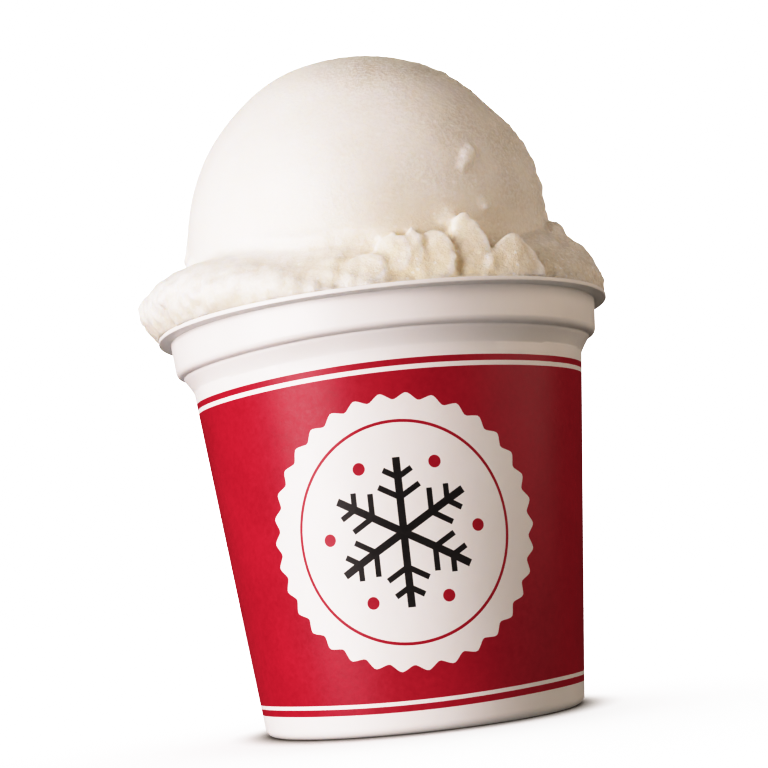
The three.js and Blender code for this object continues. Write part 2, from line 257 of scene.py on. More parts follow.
ICE_COLOURS = ((0.865, 0.845, 0.795), (0.9, 0.885, 0.85))
CLEAR_COLOUR = (0.72, 0.67, 0.59)
# Painted shade, yellowish, for hollows, the rim and low between the flakes
HOLLOW_SHADE_COLOUR = (0.83, 0.73, 0.55)
# Painted light, white, on what stands out and along the flakes' right edges, with faint frost
FROST_AND_LIGHT_COLOUR = (0.93, 0.92, 0.9)
# Painted glints on a few crystals where the ice broke
GLINT_COLOUR = (0.99, 0.99, 0.985)
ICE_CLOUD = {"size": 7, "detail": 4}
SUGAR = {"size": 0.6, "detail": 4, "roughness": 0.65}
SUGAR_EDGE = (0.42, 0.58)
SUGAR_GREYS = (0.35, 0.65)
SUGAR_SHARES = (0.15, 1)
SUGAR_HEIGHT = 0.42
FINE_GRAIN = {"size": 0.25, "detail": 2}
FINE_GRAIN_HEIGHT = 0.02
GLINT_SIZE = 0.9
GLINT_CHOICE = (0.86, 0.87)
GLINT_EDGE = (0.25, 0.4)
ICE_ROUGHNESS = (0.34, 0.6)
ICE_GLOW = (0.95, 0.6)
ICE_GLOW_TINT = (1.0, 0.87, 0.68)
ICE_GLOW_DEPTH = 4.5

FLOOR_COLOUR = (0.95, 0.95, 0.95)
FLOOR_ROUGHNESS = 0.9
# Painted contact shadow on the floor, darker where the cup is near
CONTACT_SHADOW_COLOUR = (0.2, 0.18, 0.165)
CONTACT_SHADOW_SPAN = (0.45, 1)

# Places of the colour sockets among all those of a mix node
MIX_FIRST = 6
MIX_SECOND = 7
MIX_RESULT = 2

# Light: azimuth left of the camera and elevation in degrees, distances in metres
LIGHT_AIM_Z = 0.06
SOFTBOX_KEYS = ("name", "place", "size", "power", "colour")
SOFTBOXES = [dict(zip(SOFTBOX_KEYS, row)) for row in (
    ("key_light", (50, 5, 0.95), 0.6, 12, (1, 0.89, 0.89)),
    ("high_light", (55, 34, 0.95), 0.6, 2.8, (1, 0.97, 0.96)),
    ("fill_light", (-78, 16, 0.42), 0.4, 1.05, (1, 0.84, 0.72)),
    ("floor_bounce", (40, -65, 0.6), 0.8, 0.7, (1, 0.97, 0.93)),
    ("back_light", (180, 30, 0.95), 0.5, 1.1, (1, 0.94, 0.66)),
)]
ROOM_COLOUR = (0.035, 0.03, 0.022, 1)
BACKDROP = 3
SKY_POWER = 9
SKY_ANGLE = 120
SKY_TILT = -35
# Reach of the floor's painted contact shadow, in millimetres
CONTACT_SHADOW_REACH = 7
FLOOR_REACH = 6

# The picture's tone: soft highlights and deeper shadows, as (light in the scene, in the picture)
TONE = (
    (0.05, 0.02), (0.1, 0.055), (0.2, 0.15), (0.35, 0.32), (0.5, 0.5),
    (0.7, 0.7), (0.9, 0.83), (1.1, 0.9), (1.4, 0.955), (1.7, 0.985),
)
TONE_WHITE = 2.5
COMBINED_CURVE = 3


def mix(start, end, share):
    return start + (end - start) * share


# Camera

def add_camera():
    forward = Vector((
        math.sin(CAMERA_YAW) * math.cos(CAMERA_PITCH),
        math.cos(CAMERA_YAW) * math.cos(CAMERA_PITCH),
        math.sin(CAMERA_PITCH),
    ))
    level = forward.cross(Vector((0, 0, 1))).normalized()
    upright = level.cross(forward)
    right = math.cos(CAMERA_ROLL) * level + math.sin(CAMERA_ROLL) * upright
    up = right.cross(forward)
    data = bpy.data.cameras.new("camera")
    data.sensor_width = SENSOR
    data.lens = CAMERA_LENS
    data.clip_start = CAMERA_NEAR * MM
    camera = bpy.data.objects.new("camera", data)
    turn = Matrix((right, up, -forward)).transposed().to_4x4()
    place = Vector((0, -CAMERA_DISTANCE, CAMERA_HEIGHT)) * MM
    camera.matrix_world = Matrix.Translation(place) @ turn
    bpy.context.collection.objects.link(camera)
    bpy.context.scene.camera = camera


# Cup

def cone_radius(z):
    return CONE_FOOT_RADIUS + CONE_SLOPE * z


def wall_radius(z):
    """Outer radius of the wall at a height, also for arrays."""
    z = np.asarray(z, float)
    shoulder = cone_radius(SHOULDER_Z)
    share = np.clip((z - SHOULDER_Z) / (STEP_Z - SHOULDER_Z), 0, 1)
    hollow = shoulder + SHOULDER_FLARE * share**SHOULDER_CURVE
    left = np.clip(1 - (z - STEP_Z) / COLLAR_ROUND_HEIGHT, 0, 1)
    upright = COLLAR_RADIUS - COLLAR_DRAFT * np.clip(RIM_UNDER_Z - z, 0, None)
    collar = mix(shoulder + SHOULDER_FLARE, upright, np.sqrt(1 - left**2))
    groove = STEP_GROOVE * np.exp(-(((z - STEP_Z) / STEP_GROOVE_WIDTH) ** 2))
    hollow, collar = hollow - groove, collar - groove
    return np.where(z <= SHOULDER_Z, cone_radius(z), np.where(z <= STEP_Z, hollow, collar))


def arc(centre_r, centre_z, radius, start, end, steps):
    """Points of a round stretch of the profile, angles in degrees."""
    angles = np.radians(np.linspace(start, end, steps + 1))
    return [(centre_r + radius * math.cos(a), centre_z + radius * math.sin(a)) for a in angles]


def crisp(points):
    """Adds points close to each sharp corner of a profile, so smooth shading stays beside it."""
    result = [points[0]]
    for before, here, after in zip(points, points[1:], points[2:]):
        way_in = Vector(here) - Vector(before)
        way_out = Vector(after) - Vector(here)
        sharp = way_in.angle(way_out) > math.radians(CORNER_BEND)
        if sharp and way_in.length > 3 * CORNER_NEAR:
            result.append(tuple(Vector(here) - way_in.normalized() * CORNER_NEAR))
        result.append(here)
        if sharp and way_out.length > 3 * CORNER_NEAR:
            result.append(tuple(Vector(here) + way_out.normalized() * CORNER_NEAR))
    return [*result, points[-1]]


def upper_heights():
    shoulder = np.linspace(SHOULDER_Z, STEP_Z, CURVE_STEPS + 1)
    collar = np.linspace(STEP_Z, STEP_Z + COLLAR_ROUND_HEIGHT, CURVE_STEPS + 1)[1:]
    straight = np.linspace(STEP_Z + COLLAR_ROUND_HEIGHT, RIM_UNDER_Z, STRAIGHT_STEPS + 1)[1:]
    return [*shoulder, *collar, *straight]


def top_profile():
    """From the top of the printed wall over the rim, down inside and to the floor's middle."""
    points = [(float(wall_radius(z)), z) for z in upper_heights()]
    edge = RIM_RADIUS - RIM_CORNER
    points += arc(edge, RIM_LOW_Z + RIM_CORNER, RIM_CORNER, LIP_START, 0, CORNER_STEPS)
    points += arc(edge, CUP_HEIGHT - RIM_CORNER, RIM_CORNER, 0, 90, CORNER_STEPS)
    lip = WALL / 2
    points += arc(COLLAR_RADIUS - WALL + lip, CUP_HEIGHT - lip, lip, 90, 180, CORNER_STEPS)
    points += [(float(wall_radius(z)) - WALL, z) for z in reversed(upper_heights())]
    corner = BASE_CORNER
    inner = cone_radius(FLOOR) - WALL
    points += arc(inner - corner, FLOOR + corner, corner, 0, -90, CORNER_STEPS)
    points.append((0, FLOOR))
    return crisp(points)


def bottom_profile():
    """From the middle of the underside round the corner to the foot of the printed wall."""
    middle = cone_radius(BASE_CORNER) - BASE_CORNER
    return [(0, 0), *arc(middle, BASE_CORNER, BASE_CORNER, -90, 0, BASE_STEPS)]


def lathe_faces(points, profile):
    """Adds a profile turned about Z to a list of points, and gives its faces."""
    azimuths = np.linspace(-math.pi, math.pi, CUP_COLUMNS + 1)[:-1] - math.pi / 2
    first = len(points)
    for r, z in profile:
        points += [(r * math.cos(a), r * math.sin(a), z) for a in azimuths]
    faces = []
    for ring in range(len(profile) - 1):
        low = first + ring * CUP_COLUMNS
        for i in range(CUP_COLUMNS):
            j = (i + 1) % CUP_COLUMNS
            faces.append((low + i, low + j, low + CUP_COLUMNS + j, low + CUP_COLUMNS + i))
    return faces


def badge_edge(angle):
    """Radius share of the badge's toothed edge, 1 for its middle line."""
    soft = math.cos(BADGE_TEETH * angle + BADGE_PHASE)
    pointed = math.asin(soft) / (math.pi / 2)
    return 1 + BADGE_TOOTH / 2 * mix(soft, pointed, BADGE_SHARP) / BADGE_WIDE


def circle(radius, steps, middle=(0, 0)):
    angles = np.linspace(0, 2 * math.pi, steps + 1)[:-1]
    return [(middle[0] + radius * math.cos(a), middle[1] + radius * math.sin(a)) for a in angles]


def badge_outline():
    steps = BADGE_TEETH * TOOTH_STEPS
    loop = []
    for i in range(steps):
        a = 2 * math.pi * i / steps
        edge = badge_edge(a)
        loop.append((BADGE_WIDE * edge * math.cos(a), BADGE_TALL * edge * math.sin(a)))
    return loop


def bar(start, end, width):
    """Four corners of a straight bar with the given middle line."""
    along = (Vector(end) - Vector(start)).normalized()
    side = Vector((-along.y, along.x)) * width / 2
    corners = (Vector(start) - side, Vector(end) - side, Vector(end) + side, Vector(start) + side)
    return [tuple(c) for c in corners]


def turned(point, angle):
    c, s = math.cos(angle), math.sin(angle)
    return (c * point[0] - s * point[1], s * point[0] + c * point[1])


def crystal_bars():
    """Bars of the ice crystal: its arms, each with pairs of branches."""
    arm = [bar((0, 0), (ARM_LENGTH, 0), ARM_WIDTH)]
    for place, length in BRANCHES:
        for side in (-1, 1):
            x, y = turned((length, 0), BRANCH_TURN)
            arm.append(bar((place, 0), (place + x, side * y), BRANCH_WIDTH))
    bars = []
    for k in range(ARMS):
        angle = (k + 0.5) * ARM_STEP
        bars += [[turned(p, angle) for p in shape] for shape in arm]
    return bars


def dot_centres():
    return [turned((DOT_PLACE, 0), k * ARM_STEP) for k in range(ARMS)]


def inside_convex(point, corners):
    for (ax, ay), (bx, by) in zip(corners, corners[1:] + corners[:1]):
        if (bx - ax) * (point[1] - ay) - (by - ay) * (point[0] - ax) < 0:
            return False
    return True


BARS = crystal_bars()
DOTS = dot_centres()
WHITE, RED, DARK = 0, 1, 2


def ink_at(u, z):
    """Which ink covers a place on the wall: u is the arc from the badge's middle line."""
    if LOW_STRIPE[0] < z < LOW_STRIPE[1] or TOP_STRIPE[0] < z < TOP_STRIPE[1]:
        return RED
    if not FIELD[0] < z < FIELD[1]:
        return WHITE
    v = z - BADGE_Z
    angle = math.atan2(v / BADGE_TALL, u / BADGE_WIDE)
    if math.hypot(u / BADGE_WIDE, v / BADGE_TALL) > badge_edge(angle):
        return RED
    out = math.hypot(u, v)
    if abs(out - RING_RADIUS) < RING_WIDTH / 2:
        return RED
    if out > RING_RADIUS:
        return WHITE
    if any(math.dist((u, v), dot) < DOT_RADIUS for dot in DOTS):
        return RED
    if any(inside_convex((u, v), shape) for shape in BARS):
        return DARK
    return WHITE


def print_loops():
    """Closed outlines of all print inside the field, as (arc, height) from the badge's middle."""
    loops = [badge_outline()]
    loops += [circle(RING_RADIUS + side * RING_WIDTH / 2, RING_STEPS) for side in (-1, 1)]
    loops += [circle(DOT_RADIUS, DOT_STEPS, dot) for dot in DOTS]
    return loops + BARS


def wall_rows():
    edges = [BASE_CORNER, *LOW_STRIPE, *FIELD, *TOP_STRIPE, SHOULDER_Z]
    between = np.arange(FIELD[0] + WALL_ROW, FIELD[1] - WALL_ROW / 2, WALL_ROW)
    return edges, between


def wall_sheet():
    """The printed wall's points, as (azimuth from the front, height), and its triangles."""
    columns = np.linspace(-math.pi, math.pi, CUP_COLUMNS + 1)
    scale = cone_radius(BADGE_Z)
    points, lines, near = [], [], []
    for loop in print_loops():
        first = len(points)
        for u, v in loop:
            z = BADGE_Z + v
            points.append((BADGE_AZIMUTH * scale + u / cone_radius(z) * scale, z))
        near += points[first:]
        lines += [(first + i, first + (i + 1) % len(loop)) for i in range(len(loop))]
    near = np.array(near)
    edges, between = wall_rows()
    for z in edges:
        first = len(points)
        points += [(a * scale, z) for a in columns]
        lines += [(first + i, first + i + 1) for i in range(CUP_COLUMNS)]
    for z in between:
        for a in columns:
            place = np.array((a * scale, z))
            if np.abs(near - place).max(axis=1).min() > CLEAR_OF_OUTLINE:
                points.append(tuple(place))
    flat = [Vector(p) for p in points]
    found, _, faces, *_ = delaunay_2d_cdt(flat, lines, [], 0, SHEET_WELD)
    return [(p.x / scale, p.y) for p in found], [tuple(f) for f in faces]


def uneven(azimuth, z):
    """How much higher than true a place on the cup lies, with its azimuth from the front."""
    return np.interp(z, UNEVEN_HEIGHTS, UNEVEN_SIZES) * math.cos(UNEVEN_LOBES * azimuth)


def wall_normal(place):
    out = Vector((place[0], place[1], 0)).normalized()
    return (out - Vector((0, 0, CONE_SLOPE))).normalized()


def wall_part():
    """The printed wall's points, its triangles and the ink on each of them."""
    sheet, triangles = wall_sheet()
    points = []
    for azimuth, z in sheet:
        r = cone_radius(z)
        points.append((r * math.sin(azimuth), -r * math.cos(azimuth), z))
    inks = []
    for corners in triangles:
        azimuth = sum(sheet[c][0] for c in corners) / 3
        z = sum(sheet[c][1] for c in corners) / 3
        inks.append(ink_at((azimuth - BADGE_AZIMUTH) * cone_radius(z), z))
    return points, triangles, inks


def clean_up(mesh):
    """Welds the seams of the cup, drops slivers and turns every face outward."""
    shape = bmesh.new()
    shape.from_mesh(mesh)
    bmesh.ops.remove_doubles(shape, verts=shape.verts, dist=CUP_WELD * MM)
    bmesh.ops.dissolve_degenerate(shape, edges=shape.edges, dist=CUP_SLIVER * MM)
    bmesh.ops.recalc_face_normals(shape, faces=shape.faces)
    shape.to_mesh(mesh)
    shape.free()


def smooth_cup(mesh):
    """Smooth shading, with the cone's own normals where the print cuts the wall into slivers."""
    mesh.shade_smooth()
    normals = []
    for vertex in mesh.vertices:
        x, y, z = vertex.co / MM
        on_wall = BASE_CORNER < z < SHOULDER_Z and math.hypot(x, y) > cone_radius(z) - WALL / 2
        normals.append(wall_normal(vertex.co) if on_wall else vertex.normal.copy())
    mesh.normals_split_custom_set_from_vertices(normals)


def make_cup():
    points, faces, inks = wall_part()
    for profile in (bottom_profile(), top_profile()):
        more = lathe_faces(points, profile)
        faces += more
        inks += [WHITE] * len(more)
    points = [(x, y, z + uneven(math.atan2(x, -y), z)) for x, y, z in points]
    mesh = bpy.data.meshes.new("printed_cup")
    mesh.from_pydata([Vector(p) * MM for p in points], [], faces)
    for face, ink in zip(mesh.polygons, inks):
        face.material_index = ink
    clean_up(mesh)
    smooth_cup(mesh)
    cup = bpy.data.objects.new("printed_cup", mesh)
    bpy.context.collection.objects.link(cup)
    for material in (white_plastic(), red_ink(), dark_ink()):
        mesh.materials.append(material)
    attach(cup, "root")
    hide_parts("cup")


# Ice

def bell(azimuth, side, power=2):
    """A smooth hump of height 1 about one side, in degrees. A high power gives it a flat top."""
    apart = np.abs((azimuth - side["centre"] + 540) % 360 - 180)
    return np.exp(-((apart / side["width"]) ** power))


def waves(points, length, height, seed, count=WAVE_COUNT):
    """Irregular waves of one length, the same at every run."""
    total = np.zeros(points.shape[:-1])
    for i in range(count):
        tilt = 2 * (i + 0.5) / count - 1
        turn = GOLDEN_ANGLE * (i + seed)
        across = math.sqrt(1 - tilt * tilt)
        direction = np.array((across * math.cos(turn), across * math.sin(turn), tilt))
        total += np.sin(points @ direction * (2 * math.pi / length) + seed * (i + 1))
    return height * total / math.sqrt(count)


def smooth_union(a, b, width):
    """The lesser of two distances, with the corner between them filled."""
    near = np.clip(1 - np.abs(a - b) / width, 0, 1)
    return np.minimum(a, b) - near * near * width / 4


def ball_dent(out, azimuth, elevation, width, depth):
    """A shallow hollow about one direction from the ball's middle, angles in degrees."""
    turn, rise = math.radians(azimuth), math.radians(elevation)
    level = math.cos(rise)
    direction = np.array((level * math.cos(turn), level * math.sin(turn), math.sin(rise)))
    along = out @ direction / np.maximum(np.linalg.norm(out, axis=-1), 1)
    apart = np.degrees(np.arccos(np.clip(along, -1, 1)))
    return depth * np.exp(-((apart / width) ** 2))


def ball_distance(points):
    out = points - np.array(BALL_CENTRE)
    bulge = waves(points, **BALL_LUMP) - ball_dent(out, **BALL_DENT)
    return np.linalg.norm(out, axis=-1) - BALL_RADIUS - bulge


def foot_distance(points):
    azimuth = np.degrees(np.arctan2(points[..., 1], points[..., 0]))
    flaked = bell(azimuth, FOOT_FLAKED)
    left = bell(azimuth, FOOT_LEFT)
    rim_radius = FOOT["rim_radius"] - FOOT_FLAKED["inset"] * flaked
    dip = FOOT_DIP["depth"] * bell(azimuth, FOOT_DIP, DIP_POWER)
    top_z = FOOT["top_z"] - dip - FOOT_LEFT["drop"] * left
    front = FOOT_FRONT["belly"] * bell(azimuth, FOOT_FRONT)
    belly = FOOT["belly"] + FOOT_LEFT["belly"] * left + front
    share = np.clip((points[..., 2] - FOOT_Z) / (top_z - FOOT_Z), 0, 1)
    inward = share ** (1 + FOOT_LEFT["square"] * left)
    radius = mix(rim_radius, FOOT_TOP_RADIUS, inward) + belly * np.sin(math.pi * share)
    out = np.hypot(points[..., 0], points[..., 1])
    side = out - radius - waves(points, **FOOT_LUMP) - waves(points, **FOOT_GRAIN)
    return np.maximum(side * FOOT_SLOPE, points[..., 2] - top_z)


def fill_distance(points):
    z = points[..., 2]
    out = np.hypot(points[..., 0], points[..., 1])
    inset = WALL + FILL_GAP
    side = out - (wall_radius(z) - inset)
    return np.maximum(np.maximum(side, z - FOOT_Z - FILL_OVERLAP), FLOOR + FILL_GAP - z)


def flake_axes(azimuth, lean, turn):
    angle = math.radians(azimuth)
    across = Vector((-math.sin(angle), math.cos(angle), 0))
    out = Vector((math.cos(angle), math.sin(angle), 0))
    up = Vector((0, 0, 1))
    slope = Matrix.Rotation(-math.radians(FLAKE_SLOPE), 3, across)
    out, up = slope @ out, slope @ up
    opening = Matrix.Rotation(-math.radians(lean), 3, up)
    across, out = opening @ across, opening @ out
    roll = Matrix.Rotation(math.radians(turn), 3, out)
    return np.array([roll @ across, roll @ up, out])


def flake_centre(flake):
    x, y = turned((flake["radius"], 0), math.radians(flake["azimuth"]))
    return np.array((x, y, flake["z"]))


def flake_places(points, flake):
    """Places on a flake: shares across and up, millimetres out, and a reach of 1 at its outline."""
    axes = flake_axes(flake["azimuth"], flake["lean"], flake["turn"])
    local = (points - flake_centre(flake)) @ axes.T
    up = local[..., 1] / (flake["tall"] / 2)
    across = local[..., 0] / (flake["wide"] / 2 * (1 - flake["taper"] * np.clip(up, -1, 1)))
    reach = np.sqrt(np.abs(across) ** (2 / flake["point"]) + up**2)
    return across, up, local[..., 2], reach


def flake_distance(points, flake):
    """Distance to a broken plate with an almond outline, a scalloped edge and a crowned face."""
    across, up, out, reach = flake_places(points, flake)
    edge = (reach - 1) * min(flake["wide"], flake["tall"]) / 2 - waves(points, **FLAKE_EDGE)
    crown = FLAKE_CROWN * (1 - across**2 / 2 - up**2 / 2) - flake["ridge"] * np.abs(across)
    face = out - crown - waves(points, **FLAKE_EDGE) / 2
    plate = -smooth_union(-edge, -face, flake["round"])
    return np.maximum(plate, -out - FLAKE_ROOT)


def more_flakes():
    """Flakes round the back, by the same draws as in the solid."""
    state = MORE_FLAKES["seed"]

    def pick(name):
        nonlocal state
        state = state * DRAW_FACTOR % DRAW_RANGE
        return mix(*MORE_FLAKES[name], state / DRAW_RANGE)

    flakes = []
    for i in range(MORE_FLAKES["count"]):
        share = (i + pick("step")) / MORE_FLAKES["count"]
        size = pick("size")
        flakes.append({
            "azimuth": mix(MORE_FLAKES["from"], MORE_FLAKES["to"], share),
            "radius": MORE_FLAKES["radius"],
            "z": pick("z"),
            "wide": MORE_FLAKES["wide"] * size,
            "tall": MORE_FLAKES["tall"] * size,
            "lean": pick("lean"),
            "turn": pick("turn"),
            "point": pick("point"),
            "taper": pick("taper"),
            "ridge": pick("ridge"),
            "round": MORE_FLAKES["round"],
        })
    return flakes


def grid_lines():
    """The grid's places along x, y and z, with wide rows in the cup's depth."""
    side = np.arange(-GRID_REACH, GRID_REACH + GRID_STEP, GRID_STEP)
    deep = np.linspace(0, GRID_FINE_Z, GRID_DEEP_ROWS)[:-1]
    high = np.arange(GRID_FINE_Z, BALL_CENTRE[2] + BALL_RADIUS + GRID_MARGIN, GRID_STEP)
    return side, side, np.concatenate([deep, high])


def near_box(lines, centre, reach):
    """Slices of the grid within reach of a point."""
    cut = []
    for line, middle in zip(lines, centre):
        low, high = np.searchsorted(line, (middle - reach, middle + reach))
        cut.append(slice(max(low - 1, 0), high + 1))
    return tuple(cut)


def ice_field(lines):
    """Distance to the ice's surface at each grid point, less than 0 inside."""
    points = np.stack(np.meshgrid(*lines, indexing="ij"), axis=-1)
    azimuth = np.degrees(np.arctan2(points[..., 1], points[..., 0]))
    blend = mix(BLEND_FOOT, BLEND_FRONT, bell(azimuth, FOOT_FRONT))
    field = smooth_union(ball_distance(points), foot_distance(points), blend)
    for flake in SHOWN_FLAKES + more_flakes():
        reach = max(flake["wide"], flake["tall"], 2 * FLAKE_ROOT) * FLAKE_BOX
        box = near_box(lines, flake_centre(flake), reach)
        field[box] = smooth_union(field[box], flake_distance(points[box], flake), BLEND_FLAKE)
    field = np.maximum(field, FOOT_Z - RIM_CONTACT - points[..., 2])
    return np.minimum(field, fill_distance(points))


def mixed_cells(inside):
    """Cells with corners on both sides of the surface."""
    size = np.array(inside.shape) - 1
    count = sum(
        inside[i:size[0] + i, j:size[1] + j, k:size[2] + k].astype(np.int8)
        for i, j, k in CELL_CORNERS
    )
    return (count > 0) & (count < len(CELL_CORNERS))


def net_points(field, cells, lines):
    """One point for each cell: the mean of the places where the surface crosses its edges."""
    total = np.zeros((len(cells), 3))
    hits = np.zeros(len(cells))
    for axis, step in enumerate(UNIT_STEPS):
        for corner in CELL_CORNERS:
            if corner[axis]:
                continue
            low = field[tuple((cells + corner).T)]
            high = field[tuple((cells + corner + step).T)]
            crossed = (low < 0) != (high < 0)
            share = low[crossed] / (low[crossed] - high[crossed])
            total[crossed] += corner + share[:, None] * step
            hits += crossed
    index = (cells + total / hits[:, None]).T
    places = [np.interp(i, np.arange(len(line)), line) for i, line in zip(index, lines)]
    return np.stack(places, axis=1)


def net_quads(inside, number):
    """A quad round each grid edge that the surface crosses, turned outward."""
    quads = []
    for axis in range(3):
        other = [k for k in range(3) if k != axis]
        first, second = UNIT_STEPS[other]
        low = [slice(None)] * 3
        high = [slice(None)] * 3
        low[axis], high[axis] = slice(None, -1), slice(1, None)
        crossed = inside[tuple(low)] != inside[tuple(high)]
        places = np.argwhere(crossed)
        places = places[(places[:, other[0]] > 0) & (places[:, other[1]] > 0)]
        around = [places - first - second, places - second, places, places - first]
        ring = np.stack([number[tuple(p.T)] for p in around], axis=1)
        leaving = inside[tuple(places.T)]
        turn = leaving if axis != 1 else ~leaving
        ring[~turn] = ring[~turn][:, ::-1]
        quads.append(ring)
    return np.concatenate(quads)


def surface_net(field, lines):
    """Points and quads of the surface where the field changes sign."""
    inside = field < 0
    mixed = mixed_cells(inside)
    cells = np.argwhere(mixed)
    number = np.full(mixed.shape, -1)
    number[mixed] = np.arange(len(cells))
    return net_points(field, cells, lines), net_quads(inside, number)


def largest_shell(points, quads):
    """Keeps the one connected surface with the most points, without pockets closed in the ice."""
    label = np.arange(len(points))
    while True:
        lowest = label.copy()
        np.minimum.at(lowest, quads.ravel(), np.repeat(label[quads].min(axis=1), 4))
        lowest = lowest[lowest]
        if (lowest == label).all():
            break
        label = lowest
    kept = label == np.bincount(label).argmax()
    number = np.cumsum(kept) - 1
    return points[kept], number[quads[kept[quads[:, 0]]]]


def broken_share(points):
    """How coarse the ice is at each place: 0 where the scoop slid over it and 1 where it broke."""
    azimuth = np.degrees(np.arctan2(points[:, 1], points[:, 0]))
    side = bell(azimuth, BROKEN_SIDE)
    above = points[:, 2] - BALL_CENTRE[2]
    low = np.clip((-BROKEN_LOW["below"] - above) / BROKEN_LOW["fade"], 0, 1)
    low *= mix(*BROKEN_LOW["shares"], side)
    top = np.clip((above - BROKEN_TOP["above"]) / BROKEN_TOP["fade"], 0, 1)
    top *= np.clip((points[:, 0] - BROKEN_TOP["from_x"]) / BROKEN_TOP["fade_x"], 0, 1)
    patches = 0.5 + 0.5 * np.clip(waves(points, **BROKEN_PATCH), -1, 1)
    coarse = np.maximum(low, top * mix(*BROKEN_TOP["shares"], patches))
    return np.clip(np.maximum(side * mix(*BROKEN_SHARES, patches), coarse), 0, 1)


def scaly_share(points):
    """Where the ball came off in small scales: on its broken side, and nowhere on the foot."""
    side = bell(np.degrees(np.arctan2(points[:, 1], points[:, 0])), SCALY_SIDE)
    out = np.linalg.norm(points - np.array(BALL_CENTRE), axis=1) - BALL_RADIUS
    return side * np.clip(SCALY_OUT - out, 0, 1) * (points[:, 2] > FOOT_Z + SCALY_ABOVE)


def frost_and_edge_light_share(points):
    """White on the shown flakes, most along their right edges: faint frost over each and painted
    light at its right edge.
    """
    frost_and_edge_light = np.zeros(len(points))
    for flake in SHOWN_FLAKES[:FROSTED_FLAKES]:
        across, _, out, reach = flake_places(points, flake)
        on_flake = np.clip((FROST_EDGE - reach) / FROST_SOFT, 0, 1) * (np.abs(out) < FROST_DEPTH)
        # the margin is painted light, white, along each flake's right edge; the rest of the flake
        # gets faint frost
        margin = np.clip(1 - (1 - reach) / EDGE_LIGHT_MARGIN, 0, 1) * np.clip(across, 0, 1)
        frost_and_edge_light = np.maximum(frost_and_edge_light, on_flake * mix(FROST_FACE, 1, margin))
    return frost_and_edge_light


def low_shade_between_flakes(points, frost_and_edge_light):
    """Yellowish painted shade low between the flakes, none where their frost and painted light lie.
    """
    side = bell(np.degrees(np.arctan2(points[:, 1], points[:, 0])), LOW_SHADE_SIDE)
    low = np.clip(1 - (points[:, 2] - FOOT_Z) / LOW_SHADE_HEIGHT, 0, 1)
    return side * low * (1 - frost_and_edge_light)


def scales(points, size):
    """Rounded scales of the given size, from -0.5 in the gaps between them to 0.5 on their tops."""
    heights = [1 - noise.voronoi(Vector(p) / size)[0][0] * SCALE_SHARP for p in points]
    return np.clip(heights, 0, 1) - 0.5


def spread(values, edges, rounds):
    """Values of a mesh's points, averaged over their neighbours a number of times."""
    count = len(values)
    ends = np.concatenate([edges[:, 0], edges[:, 1]])
    others = np.concatenate([edges[:, 1], edges[:, 0]])
    degree = np.bincount(ends, minlength=count)[:, None]
    for _ in range(rounds):
        sums = [np.bincount(ends, values[others, k], count) for k in range(values.shape[1])]
        values = (values + np.stack(sums, axis=1) / degree) / 2
    return values


def mesh_arrays(mesh):
    """A mesh's points and normals, in millimetres, and its edges."""
    points = np.empty(len(mesh.vertices) * 3)
    mesh.vertices.foreach_get("co", points)
    normals = np.empty(len(mesh.vertices) * 3)
    mesh.vertex_normals.foreach_get("vector", normals)
    edges = np.empty(len(mesh.edges) * 2, int)
    mesh.edges.foreach_get("vertices", edges)
    return points.reshape(-1, 3) / MM, normals.reshape(-1, 3), edges.reshape(-1, 2)


def add_value(mesh, name, values):
    layer = mesh.attributes.new(name, "FLOAT", "POINT")
    layer.data.foreach_set("value", values.astype(np.float32))


def ice_relief(points, broken):
    """How far the crystals and the scales of the ball stand out at each place."""
    crystals = scales(points, CRYSTAL_SIZE) * mix(SMOOTH_GRAIN, CRYSTAL_HEIGHT, broken)
    return crystals + scales(points, SCALE_SIZE) * SCALE_HEIGHT * scaly_share(points)


def make_ice():
    lines = grid_lines()
    points, quads = surface_net(ice_field(lines), lines)
    points, quads = largest_shell(points, quads)
    mesh = bpy.data.meshes.new("scooped_ice")
    mesh.from_pydata((points * MM).tolist(), [], quads.tolist())
    points, normals, edges = mesh_arrays(mesh)
    shown = points[:, 2] > FOOT_Z
    broken = broken_share(points)
    relief = np.zeros(len(points))
    relief[shown] = ice_relief(points[shown], broken[shown])
    points = points + normals * relief[:, None]
    mesh.vertices.foreach_set("co", (points * MM).ravel())
    # Painted shade, yellowish, in hollows, where the ice meets the rim and low between the flakes;
    # painted light, white, on what stands out and along the flakes' right edges, over faint frost
    depth = ((spread(points, edges, HOLLOW_ROUNDS) - points) * normals).sum(axis=1)
    rim_shade = RIM_SHADE * np.clip(1 - (points[:, 2] - FOOT_Z) / RIM_SHADE_HEIGHT, 0, 1)
    frost_and_edge_light = frost_and_edge_light_share(points)
    broken *= 1 - FROST_SMOOTH * frost_and_edge_light
    clear_grain_and_shade = np.maximum(rim_shade, low_shade_between_flakes(points, frost_and_edge_light))
    add_value(mesh, "hollow", np.clip(np.maximum(depth / HOLLOW_DEPTH, clear_grain_and_shade), 0, 1))
    add_value(mesh, "proud_light_and_frost", np.clip(np.maximum(-depth / HOLLOW_DEPTH, frost_and_edge_light), 0, 1))
    add_value(mesh, "broken", broken)
    mesh.shade_smooth()
    ice = bpy.data.objects.new("scooped_ice", mesh)
    bpy.context.collection.objects.link(ice)
    mesh.materials.append(ice_material())
    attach(ice, "root")
    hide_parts("ice_cream")


# Materials

def new_material(name):
    material = bpy.data.materials.new(name)
    material.use_nodes = True
    return material, material.node_tree.nodes, material.node_tree.links


def place_node(nodes):
    """Places on the object, in millimetres."""
    place = nodes.new("ShaderNodeTexCoord")
    scale = nodes.new("ShaderNodeMapping")
    scale.inputs["Scale"].default_value = (1 / MM, 1 / MM, 1 / MM)
    nodes.id_data.links.new(place.outputs["Object"], scale.inputs["Vector"])
    return scale.outputs["Vector"]


